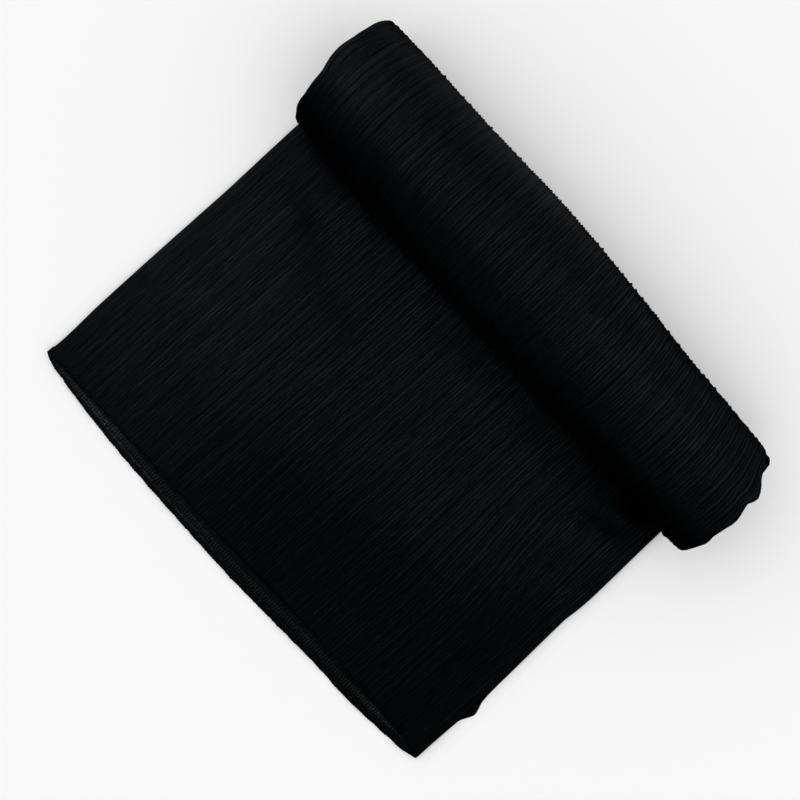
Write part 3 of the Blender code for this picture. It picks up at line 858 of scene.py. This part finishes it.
def outer_turn():
    angle = np.linspace(TURN_START, TURN_END, ROLL_ROWS)[:, None]
    left, right = turn_edge(angle, "left"), turn_edge(angle, "right")
    calm_left, calm_right = (read(CALM_EDGES, "angle", side, angle) for side in ("left", "right"))
    x = spread_between(left + 2.0, right, calm_left + 2.0, calm_right, reach=TURN_EDGE_REACH)
    swelling = np.zeros_like(x)
    for swell in SWELLINGS:
        swelling += swell.height * np.exp(
            -(((x - swell.x) / swell.reach_x) ** 2) - ((angle - swell.angle) / swell.reach_angle) ** 2
        )
    depth = wound(angle) - swelling + VALLEY
    main = roll_points(x, angle, depth)
    bottom = ease((angle - PRESSED_TO) / PRESSED_FADE) * ease((PRESSED_FROM - angle) / PRESSED_FADE)
    strength = bottom * mix(0.5, 1.0, ease((x - left) / 6.0)) * mix(0.4, 1.0, ease((right - x) / 5.0))
    fold = [roll_points(left - turn.out, angle, wound(angle) + turn.down) for turn in FOLD_DEPTHS]
    edge = [roll_points(right + turn.out, angle, wound(angle) + VALLEY + turn.down) for turn in OPEN_DEPTHS]
    points = np.concatenate([np.concatenate(fold, axis=1), main, np.concatenate(edge, axis=1)], axis=1)
    phases = np.concatenate([np.linspace(-2.0, -0.2, len(fold)), PHASES, past_last_pleat(len(edge))])
    fold_strength = bottom * column(FOLD_DEPTHS, "strength")[None, :]
    edge_strength = bottom * column(OPEN_DEPTHS, "strength")[None, :]
    along = np.repeat(angle, points.shape[1], axis=1) * MM_PER_DEGREE
    return points, phases, along, np.concatenate([fold_strength, strength, edge_strength], axis=1), False


roll = cloth_grid("roll_outer_turn_cloth", *outer_turn())
roll = apply_tree(roll, PLEATING, {**PLEATED, "Seed": 5})

# %% [markdown]
# ## The turns inside the roll
#
# Only their edges show, at the roll's two ends. At the left every turn ends in a soft fold. At
# the right it ends in two hems, one for each layer, which never line up. Both are short strips
# swept along one long spiral, so that the eye can follow a single length of cloth from the
# outside to the middle.

# %% Spiral ends
TURNS = 9.4
STEPS_PER_TURN = 60
SPIRAL_AT = {"left": -176.5, "right": 181.5}


def spiral_end(name, side, profile, first_angle, shift, depth_shift, seed):
    """A strip of cloth with the profile's section, wound inwards from the first angle."""
    count = int((TURNS - first_angle / 360.0) * STEPS_PER_TURN)
    angle = np.linspace(first_angle, TURNS * 360.0, count)[:, None]
    sign = -1.0 if side == "left" else 1.0
    stray = 1.5 * ripple(angle / 360.0, 2.6, seed) + 0.5 * ripple(angle, 0.07, seed + 1)
    waver = 0.28 * ripple(angle, 0.05, seed + 2)
    edge = SPIRAL_AT[side] + sign * (stray + shift)
    strips = []
    for turn in profile:
        depth = wound(angle) + depth_shift + turn.down + waver
        strips.append(roll_points(edge + sign * turn.out, angle, depth))
    points = np.concatenate(strips, axis=1)
    phases = np.linspace(0.1, 0.9, len(profile)) + (0 if side == "left" else PLEATS)
    strength = np.zeros((count, len(profile)))
    return cloth_grid(name, points, phases, angle * MM_PER_DEGREE, strength, side == "right")


FOLDED_EDGE = table(
    Turn,
    (-16.0, 2.3, 0.0),
    (-4.0, 2.3, 0.0),
    (-1.2, 2.2, 0.0),
    (-0.3, 1.75, 0.0),
    (0.0, 1.2, 0.0),
    (-0.3, 0.65, 0.0),
    (-1.2, 0.2, 0.0),
    (-4.0, 0.1, 0.0),
    (-16.0, 0.1, 0.0),
)
HEMMED_EDGE = table(
    Turn,
    (-16.0, 0.25, 0.0),
    (-2.4, 0.1, 0.0),
    (-0.6, 0.0, 0.0),
    (0.0, 0.3, 0.0),
    (0.0, 0.7, 0.0),
    (-0.6, 1.0, 0.0),
    (-2.4, 0.9, 0.0),
    (-16.0, 0.75, 0.0),
)
left_end = spiral_end("roll_folds", "left", FOLDED_EDGE, 350.0, 0.0, 0.1, 41)
right_outer = spiral_end("roll_hems_outer_layer", "right", HEMMED_EDGE, 350.0, 0.6, 0.2, 51)
right_inner = spiral_end("roll_hems_inner_layer", "right", HEMMED_EDGE, -8.0, -0.6, 1.75, 61)
for piece in (left_end, right_outer, right_inner):
    piece.data.materials.append(SATIN)

# %% [markdown]
# ## The hem at the free end
#
# On the inside of the lower layer the turned hem shows as a narrow band, sewn over with close
# threads that lie across it. They are many and alike, so a Geometry Nodes tree lays them: it
# takes a line along the band, puts a point every stitch and a short arched thread at each.

# %% Overlock threads
THREAD_INPUTS = (
    ("Pitch", "Float", 0.0014),
    ("Reach", "Float", 0.004),
    ("Arch", "Float", 0.0005),
    ("Thickness", "Float", 0.00026),
    ("Turn", "Float", 0.0),
    ("Seed", "Int", 1),
    ("Material", "Material", None),
)


def thread_tree():
    """Short arched threads at even steps on a line, turned together, each a little out of true."""
    tree, nodes, given, result = geometry_tree("threads on a line", THREAD_INPUTS)
    curve = nodes.add("GeometryNodeMeshToCurve", {"Mesh": given["Geometry"]})
    steps = {"Curve": curve, "Length": given["Pitch"]}
    spots = nodes.add("GeometryNodeResampleCurve", steps, mode="LENGTH")
    half = nodes.times(given["Reach"], 0.5)
    arc = nodes.add(
        "GeometryNodeCurveQuadraticBezier",
        {
            "Resolution": 5,
            "Start": nodes.point(0.0, nodes.times(half, -1.0), 0.0),
            "Middle": nodes.point(0.0, 0.0, nodes.times(given["Arch"], 2.0)),
            "End": nodes.point(0.0, half, 0.0),
        },
    )
    ring = nodes.add("GeometryNodeCurvePrimitiveCircle", {"Resolution": 6, "Radius": given["Thickness"]})
    thread = nodes.add("GeometryNodeCurveToMesh", {"Curve": arc, "Profile Curve": ring, "Fill Caps": True})
    tilt = nodes.add("FunctionNodeRandomValue", {"Seed": given["Seed"]}, data_type="FLOAT")
    tilt.node.inputs[2].default_value = -0.22
    tilt.node.inputs[3].default_value = 0.22
    placed = nodes.add(
        "GeometryNodeInstanceOnPoints",
        {
            "Points": spots,
            "Instance": thread,
            "Rotation": nodes.point(nodes.named("tip"), 0.0, nodes.math("ADD", given["Turn"], tilt)),
        },
    )
    whole = nodes.add("GeometryNodeRealizeInstances", {"Geometry": placed})
    smooth = nodes.add("GeometryNodeSetShadeSmooth", {"Geometry": nodes.above_table(whole)})
    coated = nodes.add("GeometryNodeSetMaterial", {"Geometry": smooth, "Material": given["Material"]})
    nodes.link(coated, result["Geometry"])
    return tree


def line_object(name, points):
    """A chain of edges through points in mm, for a tree to follow."""
    mesh = bpy.data.meshes.new(name)
    placed = (np.asarray(points) - np.array([*TABLE_ORIGIN, 0.0])) * MM
    mesh.from_pydata(placed.tolist(), [(i, i + 1) for i in range(len(placed) - 1)], [])
    return put_in_scene(name, mesh)


def thread_material(name, colour, roughness, specular):
    material, nodes, shader = new_material(name, specular)
    twist = nodes.noise(nodes.add("ShaderNodeTexCoord", output="Object"), scale=2500.0, detail=1.0)
    share = nodes.math("MULTIPLY_ADD", twist, 0.3, 0.5, clamp=True)
    nodes.link(two_shades(nodes, share, colour, apart=0.4), shader.inputs["Base Color"])
    nodes.link(nodes.math("MULTIPLY_ADD", twist, 0.04, roughness), shader.inputs["Roughness"])
    bump = nodes.add("ShaderNodeBump", {"Strength": 0.4, "Distance": 0.0001, "Height": twist})
    nodes.link(bump, shader.inputs["Normal"])
    return material


# %% [markdown]
# The hem itself is a strip of the satin's smooth inner face, turned up and pressed, so it is
# glossier than the pleated face. It starts behind the rim and runs in under the upper layer.
# Towards both ends the cloth rises to meet the upper layer, which tips the strip to the light:
# there it shines, and the threads over it show as fine bars.

# %% Hem band and its threads
BandRow = namedtuple("BandRow", "inward level strength")
BAND = table(
    BandRow,
    (4.4, 0.30, 0.0),
    (4.9, 0.75, 0.1),
    (5.6, 0.85, 0.2),
    (6.6, 0.88, 0.3),
    (7.8, 0.90, 0.35),
    (9.2, 0.92, 0.4),
    (10.8, 0.93, 0.4),
    (12.8, 0.90, 0.4),
)
BandTip = namedtuple("BandTip", "x slope")
BAND_TIPS = table(
    BandTip,
    (-172.0, -0.40),
    (-160.0, -0.46),
    (-140.0, -0.46),
    (-118.0, -0.36),
    (-100.0, -0.14),
    (-80.0, 0.02),
    (-40.0, 0.05),
    (60.0, 0.05),
    (100.0, 0.0),
    (132.0, -0.20),
    (150.0, -0.40),
    (172.0, -0.38),
)
BAND_MIDDLE = 7.0  # inward from the free end's outline
TIPPED_TO = 8.6
BAND_ENDS = (-169.5, 173.0)


def band_height(x, inward, level):
    """The strip is tipped only where it shows: further in it lies level."""
    tipped = (np.minimum(inward, TIPPED_TO) - BAND_MIDDLE) * rim_scale(x)
    return level + read(BAND_TIPS, "x", "slope", x) * tipped


def band_grid():
    x = mix(BAND_ENDS[0], BAND_ENDS[1], SHARES)[None, :]
    inward, level, strength = (column(BAND, name)[:, None] for name in BandRow._fields)
    y = read(FREE_END, "x", "lower", x) + inward * rim_scale(x)
    z = band_height(x, inward, level)
    points = np.stack(np.broadcast_arrays(x, y, z), axis=-1)
    return points, PHASES, np.broadcast_to(y, points.shape[:2]), strength * np.ones_like(x)


band = cloth_grid("end_hem_band", *band_grid())
FAINTLY = {"Depth": 0.0006, "Sway": 0.0003, "Puff": 0.0, "Material": HEM}
band = apply_tree(band, PLEATING, {**FAINTLY, "Seed": 9})

THREAD = thread_material("overlock thread", (0.010, 0.011, 0.013), roughness=0.36, specular=0.90)
THREADS = thread_tree()
thread_x = np.linspace(BAND_ENDS[0] + 1.0, BAND_ENDS[1] - 1.0, 200)
thread_y = read(FREE_END, "x", "lower", thread_x) + BAND_MIDDLE * rim_scale(thread_x)
thread_z = band_height(thread_x, BAND_MIDDLE, 1.05)
thread_line = line_object("end_hem_threads", np.stack([thread_x, thread_y, thread_z], axis=-1))
tip = np.arctan(read(BAND_TIPS, "x", "slope", thread_x)).astype(np.float32)
thread_line.data.attributes.new("tip", "FLOAT", "POINT").data.foreach_set("value", tip)
end_threads = apply_tree(
    thread_line,
    THREADS,
    {"Pitch": 0.0020, "Reach": 0.0042, "Arch": 0.0002, "Thickness": 0.00034, "Seed": 2, "Material": THREAD},
)

# %% [markdown]
# The upper layer's own hems are only turned over and sewn down with one row of plain stitches.
# Each stitch rests on the pleats, so the row first asks the finished cloth for its height, by
# casting a ray down on it.


# %% Stitches on the upper layer's hems
def on_cloth(piece, x, y, above):
    """Points in mm a little above the piece, under straight rays from overhead."""
    points = []
    for px, py in zip(x, y):
        start = Vector(((px - TABLE_ORIGIN[0]) * MM, (py - TABLE_ORIGIN[1]) * MM, 0.1))
        hit, place, _, _ = piece.ray_cast(start, Vector((0, 0, -1)))
        if hit:
            points.append((px, py, place.z / MM + above))
    return np.array(points)


SEWING = thread_material("sewing thread", (0.001, 0.0013, 0.0017), roughness=0.55, specular=0.25)
STITCH = {"Pitch": 0.0026, "Reach": 0.0019, "Arch": 0.0001, "Thickness": 0.00014, "Material": SEWING}
HEM_DEPTH = 3.2
front_x = np.linspace(-168.0, 173.5, 700)
front_y = read(FREE_END, "x", "upper", front_x) + HEM_DEPTH
front_stitches = line_object("flap_front_stitches", on_cloth(upper, front_x, front_y, 0.05))
front_stitches = apply_tree(front_stitches, THREADS, {**STITCH, "Turn": radians(90), "Seed": 4})
side_y = np.linspace(-140.0, 62.0, 420)
side_stitch_x = side_x(side_y, "upper_right") - HEM_DEPTH
side_stitches = line_object("flap_side_stitches", on_cloth(upper, side_stitch_x, side_y, 0.05))
side_stitches = apply_tree(side_stitches, THREADS, {**STITCH, "Turn": 0.0, "Seed": 6})

# %% [markdown]
# ## The floor and the light
#
# The object stands on a plain pale floor under an even white sky, which lights the floor and
# almost nothing else: black satin shows only what it mirrors. So the lamps are chosen for their
# reflections. Large ones stand low at the back and give the roll its bright top and its far rim,
# and a window at the left runs down the pleats. The small ones are beams with a narrow spread,
# each for one place, because the flap is bright near the roll and dark at its far corner. A card
# behind the roll stands for the pale table that its far rim mirrors. All of them are hidden from
# the floor and from the camera, so that the picture stays plain.

# %% Floor and lights
FLOOR_SIZE = 12.0

floor_mesh = bpy.data.meshes.new("floor")
half = FLOOR_SIZE / 2
floor_corners = [(-half, -half, 0), (half, -half, 0), (half, half, 0), (-half, half, 0)]
floor_mesh.from_pydata(floor_corners, [], [(0, 1, 2, 3)])
floor = put_in_scene("floor", floor_mesh)
floor_material, _, floor_shader = new_material("pale floor", specular=0.1)
floor_shader.inputs["Base Color"].default_value = (0.90, 0.90, 0.90, 1.0)
floor_shader.inputs["Roughness"].default_value = 0.9
floor_mesh.materials.append(floor_material)
floor.visible_glossy = False  # the satin doesn't mirror the floor, as under a photographer's black flags

Lamp = namedtuple("Lamp", "name place aim size spread_deg watts")
MIDDLE, ROLL_LEFT, ROLL_RIGHT = (0.0, 0.0, 0.0), (-0.10, 0.11, 0.06), (0.11, 0.11, 0.06)
FLAP, FLAP_RIGHT = (-0.10, 0.04, 0.0), (0.14, -0.03, 0.0)
FLAP_CORNER, HEM_CORNER = (-0.12, -0.10, 0.0), (-0.13, -0.15, 0.0)
LAMPS = table(
    Lamp,
    ("back_left", (-1.12, 1.78, 0.65), MIDDLE, 0.90, 180, 2.2),
    ("back_low", (-0.20, 2.00, 0.20), (0.0, 0.11, 0.03), 0.60, 180, 2.2),
    ("card_behind", (-0.07, 0.34, 0.002), (-0.07, 0.34, 1.0), 0.30, 180, 0.048),
    ("window", (-0.60, 0.30, 0.90), MIDDLE, 0.40, 180, 0.61),
    ("left_on_roll", (-0.70, 0.00, 0.90), ROLL_LEFT, 0.22, 34, 0.041),
    ("far_on_roll", (0.00, 0.60, 0.90), ROLL_RIGHT, 0.22, 34, 0.020),
    ("front_left_on_roll", (-0.50, -0.35, 0.90), ROLL_LEFT, 0.22, 34, 0.010),
    ("front_right_on_roll", (0.35, -0.45, 0.90), ROLL_RIGHT, 0.22, 24, 0.009),
    ("far_left_on_corner", (-0.30, 0.50, 0.90), FLAP_CORNER, 0.22, 34, 0.014),
    ("left_on_corner", (-0.70, 0.00, 0.90), FLAP_CORNER, 0.22, 34, 0.014),
    ("far_left_on_flap", (-0.30, 0.50, 0.90), FLAP, 0.22, 34, 0.010),
    ("front_left_on_flap", (-0.50, -0.35, 0.90), FLAP, 0.22, 34, 0.007),
    ("far_on_flap", (0.00, 0.60, 0.90), FLAP_RIGHT, 0.22, 22, 0.022),
    ("far_left_on_hem", (-0.33, 0.60, 0.64), HEM_CORNER, 0.12, 16, 0.075),
)
for lamp in LAMPS:
    light = bpy.data.lights.new(lamp.name, "AREA")
    light.shape = "DISK"
    light.size = lamp.size
    light.spread = radians(lamp.spread_deg)
    light.energy = lamp.watts
    holder = put_in_scene(lamp.name, light)
    holder.location = lamp.place
    holder.visible_diffuse = False
    holder.visible_camera = False
    direction = Vector(lamp.aim) - Vector(lamp.place)
    holder.rotation_euler = direction.to_track_quat("-Z", "Y").to_euler()

SKY_STRENGTH = 1.05
world = bpy.data.worlds.new("studio")
world.use_nodes = True
sky = world.node_tree.nodes["Background"]
sky.inputs["Color"].default_value = (1.0, 1.0, 1.0, 1.0)
sky.inputs["Strength"].default_value = SKY_STRENGTH
world.cycles_visibility.glossy = False
bpy.context.scene.world = world
bpy.context.scene.view_settings.view_transform = "Standard"
print("lamps:", [lamp.name for lamp in LAMPS])

# %% [markdown]
# ## Handing the pieces to the frame
#
# Each piece says which solid it stands for and what it is made of. It rides on the frame's root,
# and the solids that it stands for are hidden.

# %% Ride and replace
PIECES = (
    (upper, ("flap",), "black_satin"),
    (lower, (), "black_satin"),
    (band, ("end_hem",), "hem_thread"),
    (end_threads, (), "hem_thread"),
    (front_stitches, (), "hem_thread"),
    (side_stitches, (), "hem_thread"),
    (roll, ("roll_outer_turn",), "black_satin"),
    (left_end, ("roll_core",), "black_satin"),
    (right_outer, (), "black_satin"),
    (right_inner, (), "black_satin"),
)
for piece, nodes_replaced, slot in PIECES:
    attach(piece, "root")
    if nodes_replaced:
        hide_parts(*nodes_replaced)
print("pieces:", [piece.name for piece, _, _ in PIECES])
